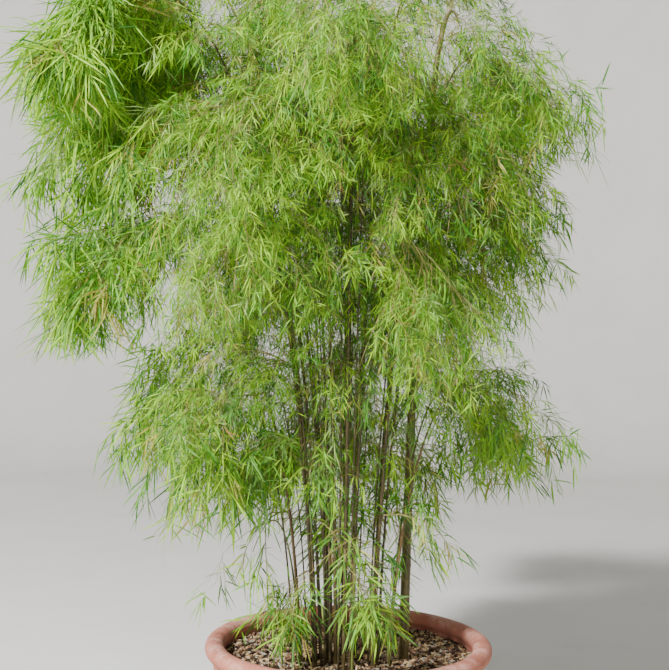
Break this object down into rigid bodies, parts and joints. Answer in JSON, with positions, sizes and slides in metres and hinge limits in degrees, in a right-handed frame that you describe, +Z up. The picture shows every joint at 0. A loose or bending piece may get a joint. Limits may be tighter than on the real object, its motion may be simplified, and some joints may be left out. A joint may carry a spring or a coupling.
{
  "type": "potted bamboo plant",
  "caption": "Weeping clump bamboo with slender arching culms and fine drooping leaves, in a wide round terracotta bowl with a rolled lip, topped with bark mulch.",
  "frame": {"origin": "centre of the pot's flat underside", "axes": "+Z up along the pot's axis; the picture looks along +Y, with +X to the right"},
  "size_m": [1.7604, 1.6427, 2.389],
  "materials": {
    "terracotta": "matte",
    "bark_mulch": "matte",
    "cane": "satin",
    "leaf": "satin"
  },
  "bodies": {
    "root": {"pot": "terracotta", "soil": "bark_mulch", "culm_inner_1": "cane", "culm_inner_2": "cane", "culm_inner_3": "cane", "culm_inner_4": "cane", "culm_inner_5": "cane", "culm_outer_1": "cane", "culm_outer_2": "cane", "culm_outer_3": "cane", "culm_outer_4": "cane", "culm_outer_5": "cane", "culm_outer_6": "cane", "culm_middle_1": "cane", "culm_middle_2": "cane", "culm_low_1": "cane", "culm_shoot_1": "cane", "culm_shoot_2": "cane", "culm_shoot_3": "cane", "culm_shoot_4": "cane", "culm_stout_1": "cane", "culm_back_1": "cane", "foliage_inner_1_top": "leaf", "foliage_inner_2_top": "leaf", "foliage_inner_3_top": "leaf", "foliage_inner_4_top": "leaf", "foliage_inner_5_top": "leaf", "foliage_outer_1_top": "leaf", "foliage_outer_1_side_1": "leaf", "foliage_outer_1_side_2": "leaf", "foliage_outer_2_top": "leaf", "foliage_outer_2_side_1": "leaf", "foliage_outer_2_side_2": "leaf", "foliage_outer_3_top": "leaf", "foliage_outer_3_side_1": "leaf", "foliage_outer_3_side_2": "leaf", "foliage_outer_4_top": "leaf", "foliage_outer_4_side_1": "leaf", "foliage_outer_4_side_2": "leaf", "foliage_outer_5_top": "leaf", "foliage_outer_5_side_1": "leaf", "foliage_outer_5_side_2": "leaf", "foliage_outer_6_top": "leaf", "foliage_outer_6_side_1": "leaf", "foliage_outer_6_side_2": "leaf", "foliage_middle_1_top": "leaf", "foliage_middle_1_side_1": "leaf", "foliage_middle_2_top": "leaf", "foliage_middle_2_side_1": "leaf", "foliage_low_1_top": "leaf", "foliage_shoot_1_top": "leaf", "foliage_shoot_2_top": "leaf", "foliage_shoot_3_top": "leaf", "foliage_shoot_4_top": "leaf", "foliage_stout_1_top": "leaf", "foliage_stout_1_side_1": "leaf", "foliage_back_1_top": "leaf"}
  },
  "joints": []
}
